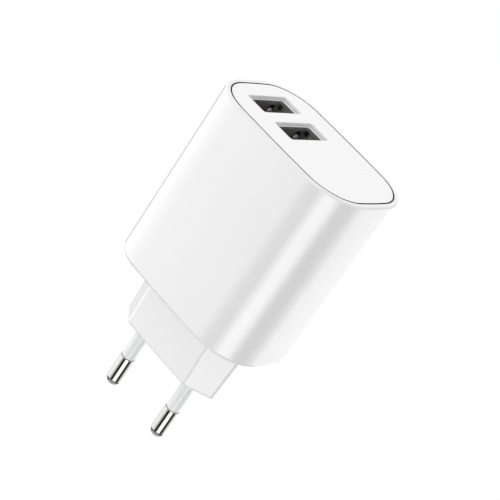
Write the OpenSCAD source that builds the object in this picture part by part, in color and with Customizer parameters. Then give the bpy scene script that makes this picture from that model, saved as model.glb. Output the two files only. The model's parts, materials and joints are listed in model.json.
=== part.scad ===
// Two-port USB wall charger with a fixed two-pin plug.
// The origin is the centre of the plug's face, between the pins. +Z runs to
// the USB ports, X is the width and Y the thickness. Millimetres.

/* [Case] */
// Width of the case, along the row of ports
case_w = 47.2; // [44:0.2:58]
// Thickness of the case, between its broad faces
case_t = 32.4; // [31:0.2:40]
// Length of the case, from its rear wall to the port end
case_len = 49; // [48:0.2:64]
// Radius of the case's four long corners
case_r = 11.6; // [8:0.1:14]
// Wall of the case
case_wall = 2; // [1.6:0.1:2.4]
// Width of the case's rim along the panel's long sides
rim_side = 1; // [0.6:0.1:1.2]
// Width of the case's rim at the panel's round ends
rim_end = 1.4; // [0.6:0.1:1.6]

/* [Port panel] */
// Thickness of the port panel
panel_thick = 2; // [1.4:0.1:3]
// Gap of the seam around the port panel
seam_gap = 0.15; // [0.05:0.05:0.3]
// Depth that each snap hook reaches behind the panel
hook_len = 7; // [5:0.5:9]
// Width of each snap hook
hook_w = 6; // [4:0.5:8]
// Height of the barb on each snap hook
barb = 0.5; // [0.3:0.1:0.8]

/* [Plug] */
// Length of the plug collar, from the case to its face
collar_len = 17.2; // [16:0.1:22]
// Width of the collar at the case
collar_w = 35.3; // [34:0.1:38]
// Thickness of the collar at the case
collar_t = 14; // [13:0.1:15]
// Narrowing of the collar's width at its face
collar_taper_w = 1.7; // [0:0.1:3]
// Narrowing of the collar's thickness at its face
collar_taper_t = 1.8; // [0:0.1:3]
// Width of the narrow side face of the collar
collar_side = 1.2; // [0.6:0.1:3]
// Thickness of the collar's end wall
collar_floor = 4; // [3:0.1:5]
// Distance between the two pins' centres
pin_pitch = 18.6; // [17:0.1:19.2]
// Diameter of the pins
pin_d = 4; // [3.8:0.02:4.8]
// Length of the pins from the plug face
pin_len = 19; // [18:0.1:20]
// Length of the insulating sleeve that shows
sleeve_len = 10; // [9:0.1:12]
// Diameter of the insulating sleeve
sleeve_d = 3.66; // [3.5:0.02:4]
// Diameter of the pin's core under the sleeve
pin_core_d = 2.8; // [2:0.1:3]

/* [USB ports] */
// Distance between the two ports' centres
port_pitch = 10; // [9:0.1:12]
// Place of the middle of the two ports, from the case's middle
ports_x = -9; // [-10:0.1:9]
// Width of the opening in the panel for each port
port_cut_w = 14.8; // [14.2:0.1:16]
// Height of the opening in the panel for each port
port_cut_t = 6.3; // [6.2:0.1:7]
// Depth of the metal shell's lip below the panel's face
port_recess = 0.7; // [0.3:0.1:1.2]
// Width inside the metal shell
shell_in_w = 12.5; // [12.4:0.05:12.8]
// Height inside the metal shell
shell_in_t = 5.12; // [5.1:0.01:5.3]
// Thickness of the shell's sheet metal
sheet = 0.3; // [0.2:0.05:0.4]
// Length of the metal shell
shell_len = 14; // [13.4:0.1:16]
// Thickness of the receptacle's tongue
tongue_t = 1.84; // [1.8:0.01:1.9]
// Width of the receptacle's tongue
tongue_w = 11.1; // [11:0.05:11.4]
// Distance of the tongue from the shell's wall at its plain side
tongue_gap = 0.72; // [0.6:0.01:0.8]
// Depth of the tongue's tip below the shell's lip
tongue_recess = 1.6; // [0.8:0.1:2.2]

/* [Retention springs] */
// Width of each spring finger
finger_w = 2; // [1.6:0.1:2.2]
// Depth of each finger's window below the shell's lip
window_top = 1.6; // [1.4:0.1:3]
// Length of each finger
finger_len = 6; // [5:0.1:6.5]
// Distance between the two fingers of one wall
finger_pitch = 7; // [5:0.1:7]
// How far a finger bends into the port
finger_bend = 0.42; // [0.2:0.01:0.5]

/* [Boards] */
// Thickness of both circuit boards
board_t = 1.6; // [1:0.1:1.6]
// Width of the main board
board_w = 36; // [35:0.5:42]
// Distance of the main board from the case's middle plane
board_y = 9; // [8.8:0.1:10]
// Gap between the main board and the case's rear wall
board_gap = 0.8; // [0.4:0.1:2]

/* [Parts on the boards] */
// Width of the transformer's core
core_w = 20; // [19:0.5:20]
// Length of the transformer's core
core_len = 18; // [16:0.5:19]
// Thickness of the transformer's core
core_t = 6; // [5:0.5:7]
// Diameter of the input capacitors
in_cap_d = 8; // [6.3:0.1:8]
// Length of the input capacitors
in_cap_len = 14; // [11:0.5:16]
// Diameter of the output capacitors
out_cap_d = 8; // [6.3:0.1:8]
// Length of the output capacitors
out_cap_len = 11; // [9:0.5:11.5]

/* [Hidden] */
$fn = 64;

eps = 0.01;
fit = 0.1;
air = 0.3;

port_z = collar_len + case_len;
rear_z = collar_len + case_wall;
panel_back_z = port_z - panel_thick;
in_w = case_w - 2 * case_wall;
in_t = case_t - 2 * case_wall;
in_r = case_r - case_wall;
port_x = [ports_x - port_pitch / 2, ports_x + port_pitch / 2];

lip_z = port_z - port_recess;
shell_base_z = lip_z - shell_len;
shell_w = shell_in_w + 2 * sheet;
shell_t = shell_in_t + 2 * sheet;
base_h = 3.6;
tongue_top_z = lip_z - tongue_recess;
tongue_x = shell_in_t / 2 - tongue_gap - tongue_t;
contact_y = [-3.5, -1, 1, 3.5];
contact_w = 1;
contact_t = 0.2;
contact_slot = 0.8;
contact_proud = 0.3;
contact_tip_z = tongue_top_z - 0.9;
contact_root_z = shell_base_z + base_h + fit;
window_side = 0.35;
tip_gap = 0.8;
finger_tip_z = lip_z - window_top - tip_gap;
finger_root_z = finger_tip_z - finger_len;
side_window_t = 1.2;
side_window_len = 1.4;

usb_board_z = shell_base_z - board_t;
sheet_card_t = 0.4;
main_board_z = rear_z + board_gap;
main_board_top = usb_board_z - sheet_card_t - board_gap;
board_face = board_y;
board_back = board_y + board_t;
rail_grip = 1.2;
rail_in = board_w / 2 - rail_grip;
post_y = -in_t / 2 + 3;
post_w = 2.2;

carrier_len = 11;
carrier_w = pin_pitch + 7;
carrier_t = collar_t - collar_taper_t - 4.2;
flange_d = 5;
flange_h = 1.6;
tail_top = main_board_z + 1.4;
lead_t = 0.5;
lead_w = 3;
lead_z = main_board_z + 0.3;
lead_tab = 4;
sleeve_in = collar_floor - 1;

core_z = main_board_z + 7.4;
core_x = -board_w / 2 + 1 + core_w / 2;
core_y = board_face - 1.2 - core_t / 2 - 3;
core_leg = 4;
core_mid = 5;
bobbin_wall = 0.8;
window_x = core_w / 2 - core_leg;
winding_x = window_x - 0.5;
winding_y = 5.4;
bobbin_flange = 0.8;
tape_t = 0.4;
tube_x = core_mid + 2 * (fit + bobbin_wall);
tube_y = core_t + 2 * (fit + bobbin_wall);
winding_z = core_leg + bobbin_flange;
winding_h = core_len - 2 * winding_z;
cap_stand = 0.4;
caps_x = core_x + core_w / 2 + 0.6 + in_cap_d / 2;
side_x = rail_in - air - 2.3;

// Half the cavity's width at a distance y from the middle plane
function cavity_half(y) = abs(y) <= in_t / 2 - in_r ? in_w / 2
    : in_w / 2 - in_r + sqrt(pow(in_r, 2) - pow(abs(y) - (in_t / 2 - in_r), 2));

// Rectangle with round corners, centred
module round_rect(w, t, r) {
    square([w - 2 * r, t], center = true);
    square([w, t - 2 * r], center = true);
    for (sx = [-1, 1], sy = [-1, 1])
        translate([sx * (w / 2 - r), sy * (t / 2 - r)]) circle(r);
}

// Block with round long corners, standing on z = 0
module round_block(w, t, r, h) {
    linear_extrude(h) round_rect(w, t, r);
}

// Block with the outline of the panel's recess, less a gap all round
module panel_block(gap, h) {
    round_block(case_w - 2 * (rim_end + gap), case_t - 2 * (rim_side + gap), case_r - rim_end - gap, h);
}

// Box centred in X and Y, standing on z = 0
module box(w, t, h) {
    translate([-w / 2, -t / 2, 0]) cube([w, t, h]);
}

// Slab whose thickness grows from its face to its root, wide enough to cut with
module tapered_slab(face, root, h, wide) {
    rotate([90, 0, 90])
        linear_extrude(wide, center = true)
            polygon([[-face / 2, 0], [face / 2, 0], [root / 2, h], [-root / 2, h]]);
}

// Six-sided plug collar: flat broad faces, sloping facets and narrow sides
module collar_solid() {
    facet = (collar_w + collar_side) / sqrt(2);
    facet_taper = collar_taper_w / sqrt(2);
    wide = collar_w * 2;
    intersection() {
        tapered_slab(collar_t - collar_taper_t, collar_t, collar_len, wide);
        rotate([0, 0, 90])
            tapered_slab(collar_w - collar_taper_w, collar_w, collar_len, wide);
        rotate([0, 0, 45])
            tapered_slab(facet - facet_taper, facet, collar_len, wide);
        rotate([0, 0, -45])
            tapered_slab(facet - facet_taper, facet, collar_len, wide);
    }
}

// Rail on one side of the cavity: it holds the main board's edge and carries
// the USB board on its end
module board_rail() {
    rail_out = cavity_half(board_back + rail_grip) + case_wall / 2;
    difference() {
        translate([rail_in, board_y - rail_grip, rear_z - eps])
            cube([rail_out - rail_in, board_t + 2 * rail_grip, usb_board_z - rear_z + eps]);
        translate([rail_in - eps, board_y - fit, rear_z])
            cube([board_w / 2 + fit - rail_in, board_t + 2 * fit, usb_board_z - rear_z + 1]);
    }
}

// Post in the cavity's front corner that carries the USB board
module board_post() {
    translate([cavity_half(post_y) - post_w, post_y - 1, rear_z - eps])
        cube([post_w + case_wall / 2, 2, usb_board_z - rear_z + eps]);
}

// Notch in the case's wall that a snap hook's barb springs into
module hook_notch() {
    translate([-hook_w / 2 - air, in_t / 2 - 1, panel_back_z - hook_len - air])
        cube([hook_w + 2 * air, 1 + barb + fit, 2.2 + 2 * air]);
}

// Repeats its child at the four snap hooks
module at_hooks() {
    hook_x = (in_w / 2 - in_r) - hook_w / 2 - 0.6;
    for (sx = [-1, 1], m = [0, 1])
        mirror([0, m, 0]) translate([sx * hook_x, 0, 0]) children();
}

module case() {
    color("white")
    difference() {
        union() {
            difference() {
                translate([0, 0, collar_len]) round_block(case_w, case_t, case_r, case_len);
                translate([0, 0, rear_z]) round_block(in_w, in_t, in_r, case_len);
            }
            collar_solid();
            for (m = [0, 1]) mirror([m, 0, 0]) {
                board_rail();
                board_post();
            }
        }
        translate([0, 0, panel_back_z]) panel_block(0, panel_thick + 1);
        translate([0, 0, collar_floor])
            box(carrier_w, carrier_t, rear_z - collar_floor + 1);
        for (sx = [-1, 1]) translate([sx * pin_pitch / 2, 0, -1])
            cylinder(h = collar_floor + 2, d = sleeve_d);
        at_hooks() hook_notch();
    }
}

// Snap hook: a strip that hangs behind the panel, with a barb at its end
module snap_hook() {
    hook_t = 1.2;
    rotate([90, 0, 90])
        linear_extrude(hook_w, center = true)
            polygon([
                [in_t / 2 - fit - hook_t, panel_back_z + eps],
                [in_t / 2 - fit, panel_back_z + eps],
                [in_t / 2 - fit, panel_back_z - hook_len + 2],
                [in_t / 2 - fit + barb, panel_back_z - hook_len + 1.6],
                [in_t / 2 - fit, panel_back_z - hook_len],
                [in_t / 2 - fit - hook_t, panel_back_z - hook_len]
            ]);
}

module port_panel() {
    color("white")
    difference() {
        union() {
            translate([0, 0, panel_back_z]) panel_block(seam_gap, panel_thick);
            at_hooks() snap_hook();
        }
        for (x = port_x) translate([x, 0, panel_back_z - 1])
            box(port_cut_t, port_cut_w, panel_thick + 2);
    }
}

module pin_carrier() {
    color("gainsboro")
    difference() {
        translate([0, 0, collar_floor])
            box(carrier_w - 2 * fit, carrier_t - 2 * fit, carrier_len);
        for (sx = [-1, 1]) translate([sx * pin_pitch / 2, 0, 0]) {
            cylinder(h = collar_floor + carrier_len + 1, d = pin_core_d);
            cylinder(h = collar_floor + flange_h, d = flange_d);
        }
    }
}

// Pin on its own axis: round tip, bare length, core, flange and tail
module pin() {
    straight = pin_len - sleeve_len - pin_d / 2;
    color("silver") {
        translate([0, 0, -pin_len + pin_d / 2]) {
            difference() {
                sphere(d = pin_d);
                translate([0, 0, pin_d / 2]) cube(pin_d, center = true);
            }
            cylinder(h = straight, d = pin_d);
        }
        translate([0, 0, -sleeve_len - eps])
            cylinder(h = sleeve_len + eps + tail_top, d = pin_core_d);
        translate([0, 0, collar_floor]) cylinder(h = flange_h, d = flange_d);
    }
}

module pin_left() {
    translate([-pin_pitch / 2, 0, 0]) pin();
}

module pin_right() {
    translate([pin_pitch / 2, 0, 0]) pin();
}

// Insulating sleeve on its own axis, from the bare metal into the collar
module sleeve() {
    color("whitesmoke")
    difference() {
        translate([0, 0, -sleeve_len]) cylinder(h = sleeve_len + sleeve_in, d = sleeve_d);
        translate([0, 0, -sleeve_len - 1])
            cylinder(h = sleeve_len + sleeve_in + 2, d = pin_core_d);
    }
}

module sleeve_left() {
    translate([-pin_pitch / 2, 0, 0]) sleeve();
}

module sleeve_right() {
    translate([pin_pitch / 2, 0, 0]) sleeve();
}

// Strip from a pin's tail to the main board, with an eye round the tail
module lead() {
    color("peru")
    difference() {
        union() {
            translate([0, 0, lead_z]) cylinder(h = lead_t, d = lead_w + 2);
            translate([-lead_w / 2, 0, lead_z]) cube([lead_w, board_face, lead_t]);
            translate([-lead_w / 2, board_face - lead_t, lead_z])
                cube([lead_w, lead_t, lead_tab]);
        }
        translate([0, 0, lead_z - 1]) cylinder(h = lead_t + 2, d = pin_core_d);
    }
}

module lead_left() {
    translate([-pin_pitch / 2, 0, 0]) lead();
}

module lead_right() {
    translate([pin_pitch / 2, 0, 0]) lead();
}

module main_board() {
    color("darkgreen")
    translate([-board_w / 2, board_face, main_board_z])
        cube([board_w, board_t, main_board_top - main_board_z]);
}

module usb_board() {
    side = 0.25;
    leg_slot = 2.4;
    color("green")
    difference() {
        translate([0, 0, usb_board_z])
            round_block(in_w - 2 * side, in_t - 2 * side, in_r - side, board_t);
        for (x = port_x, s = [-1, 1])
            translate([x, s * (shell_w - sheet) / 2, usb_board_z - 1])
                box(leg_slot, sheet + 2 * fit, board_t + 2);
    }
}

// Pin header that joins the two boards at a right angle
module board_link() {
    bar_w = 12;
    bar_t = 2.4;
    pins = 4;
    pitch = 2.54;
    pin_side = 0.6;
    bar_z = main_board_top - 2.4;
    color("dimgray") {
        translate([core_x, board_face - bar_t / 2, bar_z])
            box(bar_w, bar_t, usb_board_z - sheet_card_t - bar_z);
        for (i = [0 : pins - 1])
            translate([core_x + (i - (pins - 1) / 2) * pitch, board_face - bar_t / 2, bar_z])
                box(pin_side, pin_side, usb_board_z - bar_z);
    }
}

module insulating_sheet() {
    card_w = 2 * (min(rail_in, cavity_half(post_y) - post_w) - air);
    card_t = in_t - 8;
    color("lightyellow")
    difference() {
        translate([0, 0, usb_board_z - sheet_card_t])
            round_block(card_w, card_t, 3, sheet_card_t);
        translate([core_x, board_face - 1.2, usb_board_z - 1])
            box(12, 3, 2);
    }
}

// Places its child at a port, with z = 0 kept
module at_port(i) {
    translate([port_x[i], 0, 0]) children();
}

// The two finger windows' or fingers' places across one wall
module at_fingers() {
    for (s = [-1, 1]) translate([0, s * finger_pitch / 2, 0]) children();
}

// Metal shell of a receptacle, with its lip, finger windows and legs
module usb_shell() {
    lip_w = port_cut_w - 2 * fit;
    lip_t = port_cut_t - 2 * fit;
    window_w = finger_w + 2 * window_side;
    window_bottom = finger_root_z - fit;
    leg_w = 2;
    color("silver")
    difference() {
        union() {
            translate([0, 0, shell_base_z]) box(shell_t, shell_w, shell_len);
            translate([0, 0, lip_z - sheet]) box(lip_t, lip_w, sheet);
            for (s = [-1, 1]) translate([0, s * (shell_w - sheet) / 2, usb_board_z])
                box(leg_w, sheet, board_t + eps);
        }
        translate([0, 0, shell_base_z - eps]) box(shell_in_t, shell_in_w, shell_len + 1);
        at_fingers() translate([0, 0, window_bottom])
            box(shell_t + 1, window_w, lip_z - window_top - window_bottom);
        translate([-shell_in_t / 2, 0, lip_z - window_top - side_window_len])
            translate([0, -shell_w, 0]) cube([side_window_t, 2 * shell_w, side_window_len]);
    }
}

module usb_1_shell() {
    at_port(0) usb_shell();
}

module usb_2_shell() {
    at_port(1) usb_shell();
}

// Plastic base and tongue of a receptacle, with a slot for each contact
module usb_tongue() {
    color("#303236")
    difference() {
        union() {
            translate([0, 0, shell_base_z])
                box(shell_in_t - 2 * fit, shell_in_w - 2 * fit, base_h);
            translate([tongue_x, -tongue_w / 2, shell_base_z])
                cube([tongue_t, tongue_w, tongue_top_z - shell_base_z]);
        }
        for (y = contact_y)
            translate([tongue_x - eps, y - contact_w / 2 - fit, shell_base_z + base_h])
                cube([contact_slot + eps, contact_w + 2 * fit,
                    contact_tip_z - shell_base_z - base_h + air]);
        usb_tails();
    }
}

module usb_1_tongue() {
    at_port(0) usb_tongue();
}

module usb_2_tongue() {
    at_port(1) usb_tongue();
}

// The four contact springs of a receptacle, each bent proud of the tongue
module usb_contacts() {
    length = contact_tip_z - contact_root_z;
    back = tongue_x + contact_slot - air;
    color("goldenrod")
    for (y = contact_y) translate([0, y + contact_w / 2, 0])
        rotate([90, 0, 0]) linear_extrude(contact_w) polygon([
            [back, contact_root_z],
            [tongue_x - contact_proud + contact_t, contact_root_z + length * 0.72],
            [tongue_x + contact_t, contact_root_z + length],
            [tongue_x, contact_root_z + length],
            [tongue_x - contact_proud, contact_root_z + length * 0.72],
            [back - contact_t, contact_root_z]
        ]);
}

module usb_1_contacts() {
    at_port(0) usb_contacts();
}

module usb_2_contacts() {
    at_port(1) usb_contacts();
}

// The contacts' fixed ends, from the springs' roots to the board
module usb_tails() {
    tail_side = 0.5;
    back = tongue_x + contact_slot - air;
    color("goldenrod")
    for (y = contact_y) translate([back - tail_side, y - tail_side / 2, shell_base_z])
        cube([tail_side, tail_side, base_h]);
}

module usb_1_tails() {
    at_port(0) usb_tails();
}

module usb_2_tails() {
    at_port(1) usb_tails();
}

// The two spring fingers of one wide wall, rooted deep, with round tips that
// turn outwards
module usb_spring() {
    wall_in = shell_in_t / 2;
    bend_z = finger_root_z + finger_len * 0.72;
    color("silver")
    at_fingers() intersection() {
        rotate([90, 0, 0]) linear_extrude(finger_w, center = true) polygon([
            [wall_in, finger_root_z],
            [wall_in - finger_bend, bend_z],
            [wall_in + sheet / 3, finger_tip_z],
            [wall_in + sheet * 4 / 3, finger_tip_z],
            [wall_in - finger_bend + sheet, bend_z],
            [wall_in + sheet, finger_root_z]
        ]);
        union() {
            translate([0, 0, finger_root_z])
                box(shell_t + 4, finger_w, finger_len - finger_w / 2);
            translate([0, 0, finger_tip_z - finger_w / 2]) rotate([0, 90, 0])
                cylinder(h = shell_t + 4, d = finger_w, center = true);
        }
    }
}

module usb_1_spring_outer() {
    at_port(0) mirror([1, 0, 0]) usb_spring();
}

module usb_1_spring_inner() {
    at_port(0) usb_spring();
}

module usb_2_spring_outer() {
    at_port(1) mirror([1, 0, 0]) usb_spring();
}

module usb_2_spring_inner() {
    at_port(1) usb_spring();
}

// Places its child at the transformer's middle, standing on its lower end
module at_transformer() {
    translate([core_x, core_y, core_z]) children();
}

module transformer_core() {
    color("dimgray")
    at_transformer() difference() {
        box(core_w, core_t, core_len);
        for (s = [-1, 1]) translate([s * (window_x + core_mid / 2) / 2, 0, core_leg])
            box(window_x - core_mid / 2, core_t + 1, core_len - 2 * core_leg);
    }
}

module transformer_bobbin() {
    window_len = core_len - 2 * core_leg;
    foot_y = board_face - core_y;
    color("darkslategray")
    at_transformer() difference() {
        translate([0, 0, core_leg]) {
            box(tube_x, tube_y, window_len);
            for (z = [0, window_len - bobbin_flange]) translate([0, 0, z]) {
                box(2 * window_x - 2 * fit, 2 * winding_y + 1, bobbin_flange);
                translate([-window_x + fit, 0, 0])
                    cube([2 * window_x - 2 * fit, foot_y, bobbin_flange]);
            }
        }
        box(core_mid + 2 * fit, core_t + 2 * fit, core_len);
    }
}

// Block round the bobbin's tube, between its flanges
module wrap(outer_x, outer_y, inner_x, inner_y) {
    at_transformer() translate([0, 0, winding_z]) difference() {
        box(outer_x, outer_y, winding_h);
        translate([0, 0, -1]) box(inner_x, inner_y, winding_h + 2);
    }
}

module transformer_winding() {
    color("chocolate")
    wrap(2 * (winding_x - tape_t), 2 * (winding_y - tape_t), tube_x, tube_y);
}

module transformer_tape() {
    color("gold")
    wrap(2 * winding_x, 2 * winding_y, 2 * (winding_x - tape_t), 2 * (winding_y - tape_t));
}

// Electrolytic capacitor on its own axis: can, sleeve groove and rubber bung
module capacitor(d, len) {
    lead_d = 0.6;
    groove = 0.35;
    bung = 0.6;
    cylinder(h = bung, d = d - 2 * groove - 0.6);
    translate([0, 0, bung]) cylinder(h = 1, d = d);
    translate([0, 0, bung + 1]) cylinder(h = 0.8, d = d - 2 * groove);
    translate([0, 0, bung + 1.8]) cylinder(h = len - bung - 1.8, d = d);
    for (s = [-1, 1]) translate([s * d / 5, 0, -cap_stand]) cylinder(h = cap_stand + bung, d = lead_d);
}

module input_capacitor(row) {
    color("darkblue")
    translate([caps_x, board_face - cap_stand, core_z + in_cap_d / 2 + row * (in_cap_d + 1)])
        rotate([90, 0, 0]) capacitor(in_cap_d, in_cap_len);
}

module input_capacitor_1() {
    input_capacitor(0);
}

module input_capacitor_2() {
    input_capacitor(1);
}

module output_capacitor(col) {
    x = port_x[1] + port_cut_t / 2 + 1.4 + out_cap_d / 2 + col * (out_cap_d + 0.8);
    color("black")
    translate([x, -out_cap_d / 4, usb_board_z + board_t + cap_stand])
        capacitor(out_cap_d, out_cap_len);
}

module output_capacitor_1() {
    output_capacitor(0);
}

module output_capacitor_2() {
    output_capacitor(1);
}

module fuse_resistor() {
    body_d = 3.4;
    body_len = 9;
    lead_d = 0.6;
    color("seagreen")
    translate([side_x, board_face - body_d / 2 - fit, core_z]) {
        cylinder(h = body_len, d = body_d);
        for (z = [1, body_len - 1]) translate([0, 0, z]) rotate([-90, 0, 0])
            cylinder(h = body_d / 2 + fit, d = lead_d);
    }
}

// Moulded chip standing on z = 0 with a row of legs on two sides
module chip(w, t, h, legs, pitch, leg_out) {
    leg_w = 0.5;
    translate([0, 0, 0.15]) box(w, t, h - 0.15);
    for (s = [-1, 1], i = [0 : legs - 1])
        translate([(i - (legs - 1) / 2) * pitch, s * (t / 2 + leg_out / 2), 0])
            box(leg_w, leg_out, h / 2);
}

module bridge_rectifier() {
    color("#202020")
    translate([-board_w / 2 + 3.9, board_face, main_board_z + 3.7])
        rotate([90, 0, 0]) chip(4.7, 3.8, 2.6, 2, 2.5, 1.2);
}

module line_choke() {
    core_d = 5;
    color("dimgray")
    translate([0, board_face, main_board_z + core_d / 2 + 0.8]) rotate([90, 0, 0]) {
        cylinder(h = 1, d = core_d);
        translate([0, 0, 1]) cylinder(h = 5, d = core_d - 0.8);
        translate([0, 0, 6]) cylinder(h = 1, d = core_d);
    }
}

module controller_chip() {
    color("#202020")
    translate([caps_x, board_back, core_z + 5])
        rotate([-90, 0, 0]) chip(4.9, 3.9, 1.6, 4, 1.27, 1);
}

module optocoupler() {
    color("#f0f0ea")
    translate([side_x, board_face, core_z + 14.4])
        rotate([90, 90, 0]) chip(4.4, 3, 2.6, 2, 2.54, 0.8);
}

module y_capacitor() {
    disc_d = 7;
    disc_t = 2.8;
    leg_d = 0.6;
    color("royalblue")
    translate([side_x, board_face - disc_d / 2 - 0.3, main_board_z + disc_d / 2 - 0.4]) {
        rotate([0, 90, 0]) cylinder(h = disc_t, d = disc_d, center = true);
        for (s = [-1, 1]) translate([0, 0, s * 2])
            rotate([-90, 0, 0]) cylinder(h = disc_d / 2 + 0.3, d = leg_d);
    }
}

module output_diode() {
    color("#202020")
    translate([port_x[1] + port_cut_t / 2 + 5.4, in_t / 2 - 5.4, usb_board_z + board_t])
        chip(6.6, 4, 2.4, 1, 2, 0.8);
}

module port_chip() {
    color("#202020")
    translate([port_x[1] + port_cut_t / 2 + 14, in_t / 2 - 6.2, usb_board_z + board_t])
        chip(4.9, 3.9, 1.5, 4, 1.27, 0.8);
}

// Chip resistors and capacitors on the main board's back and the USB board
module small_parts() {
    part_w = 1.6;
    part_t = 0.8;
    part_h = 0.6;
    color("tan") {
        for (col = [0 : 3], row = [0 : 2])
            translate([core_x - 6 + col * 4, board_back, core_z + 2 + row * 5])
                rotate([-90, 0, 0]) box(part_w, part_t, part_h);
        for (col = [0 : 3])
            translate([port_x[1] + port_cut_t / 2 + 4 + col * 3.6, -in_t / 2 + 4.4, usb_board_z + board_t])
                box(part_w, part_t, part_h);
    }
}

case();
port_panel();
pin_carrier();
pin_left();
pin_right();
sleeve_left();
sleeve_right();
lead_left();
lead_right();
main_board();
usb_board();
board_link();
insulating_sheet();
usb_1_shell();
usb_2_shell();
usb_1_tongue();
usb_2_tongue();
usb_1_contacts();
usb_2_contacts();
usb_1_tails();
usb_2_tails();
usb_1_spring_outer();
usb_1_spring_inner();
usb_2_spring_outer();
usb_2_spring_inner();
transformer_core();
transformer_bobbin();
transformer_winding();
transformer_tape();
input_capacitor_1();
input_capacitor_2();
output_capacitor_1();
output_capacitor_2();
fuse_resistor();
bridge_rectifier();
line_choke();
controller_chip();
optocoupler();
y_capacitor();
output_diode();
port_chip();
small_parts();
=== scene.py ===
"""Looks of a USB wall charger with a fixed two-pin plug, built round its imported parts.

Sizes in this file are in millimetres and become metres as each mesh is made. The
origin is the centre of the plug's face: +Z runs to the ports and X is the width.
"""

import json
import logging
import math
from collections.abc import Callable, Iterable, Sequence
from dataclasses import dataclass
from enum import Enum

import bmesh
import bpy
from mathutils import Matrix, Vector

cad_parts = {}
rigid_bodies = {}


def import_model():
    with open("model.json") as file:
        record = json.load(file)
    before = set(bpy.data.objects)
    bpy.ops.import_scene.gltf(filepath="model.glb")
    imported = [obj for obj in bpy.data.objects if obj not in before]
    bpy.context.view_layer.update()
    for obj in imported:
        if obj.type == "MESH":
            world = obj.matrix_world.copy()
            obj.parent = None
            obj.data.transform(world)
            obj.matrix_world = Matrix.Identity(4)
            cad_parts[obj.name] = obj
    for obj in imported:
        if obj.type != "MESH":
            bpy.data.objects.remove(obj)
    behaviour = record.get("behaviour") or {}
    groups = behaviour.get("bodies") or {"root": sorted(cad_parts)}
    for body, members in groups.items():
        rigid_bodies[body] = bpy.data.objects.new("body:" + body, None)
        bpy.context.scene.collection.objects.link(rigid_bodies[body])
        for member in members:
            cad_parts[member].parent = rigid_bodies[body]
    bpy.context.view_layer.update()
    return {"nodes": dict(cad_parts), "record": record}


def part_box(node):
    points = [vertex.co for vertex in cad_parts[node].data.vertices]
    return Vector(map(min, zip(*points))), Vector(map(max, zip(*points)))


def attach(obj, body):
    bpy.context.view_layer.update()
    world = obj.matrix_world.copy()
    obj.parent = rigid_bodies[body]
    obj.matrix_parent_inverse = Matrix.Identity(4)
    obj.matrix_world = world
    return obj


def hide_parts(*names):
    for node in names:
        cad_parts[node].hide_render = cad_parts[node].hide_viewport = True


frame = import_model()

LOG = logging.getLogger("charger")
MM = 0.001
BODY = "charger"
CORNER_POINTS = 32
SIDE_POINTS = 7
Ring = list[Vector]
Colour = tuple[float, float, float]
Point = tuple[float, float]


class Join(Enum):
    """Ways to bring a second solid into a first."""

    CUT = "DIFFERENCE"
    ADD = "UNION"


class Side(Enum):
    """The wide wall of a port that a part belongs to."""

    OUTER = -1
    INNER = 1


# ---------------------------------------------------------------- outlines


def rounded(corners: Sequence[Point], radius: float, steps: int, z: float,
            centre: Point = (0.0, 0.0)) -> Ring:
    """Traces a convex outline with round corners.

    Args:
        corners: The sharp corners, anticlockwise.
        radius: Radius of every corner.
        steps: Points on each corner's arc.
        z: Height of the ring.
        centre: Where the outline's own origin goes.

    Returns:
        The ring's points, with the same count for each corner.
    """
    ring, count = [], len(corners)
    for i, corner in enumerate(corners):
        here = Vector(corner)
        into = (here - Vector(corners[i - 1])).normalized()
        out = (Vector(corners[(i + 1) % count]) - here).normalized()
        turn = into.angle_signed(out, 0.0) * -1.0
        left = Vector((-into.y, into.x))
        middle = here - into * radius * math.tan(turn / 2) + left * radius
        for step in range(steps):
            angle = turn * step / (steps - 1)
            spoke = Matrix.Rotation(angle, 2) @ (-left * radius)
            ring.append(Vector((middle.x + spoke.x + centre[0], middle.y + spoke.y + centre[1], z)))
    return ring


def rect_ring(width: float, depth: float, radius: float, z: float,
              centre: Point = (0.0, 0.0), steps: int = 8) -> Ring:
    """Traces a rectangle with round corners, `width` along X and `depth` along Y.

    Args:
        width: Whole width.
        depth: Whole depth.
        radius: Radius of the corners.
        z: Height of the ring.
        centre: The rectangle's middle.
        steps: Points on each corner.

    Returns:
        The ring's points.
    """
    x, y = width / 2, depth / 2
    return rounded([(x, y), (-x, y), (-x, -y), (x, -y)], radius, steps, z, centre)


def filled(ring: Ring, group: int, extra: int) -> Ring:
    """Adds even points on the straight run after each group of points.

    Args:
        ring: The ring.
        group: Points in each group.
        extra: Points added after a group.

    Returns:
        The fuller ring.
    """
    full, count = [], len(ring)
    for i, point in enumerate(ring):
        full.append(point)
        if (i + 1) % group == 0:
            after = ring[(i + 1) % count]
            full += [point.lerp(after, j / (extra + 1)) for j in range(1, extra + 1)]
    return full


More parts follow.
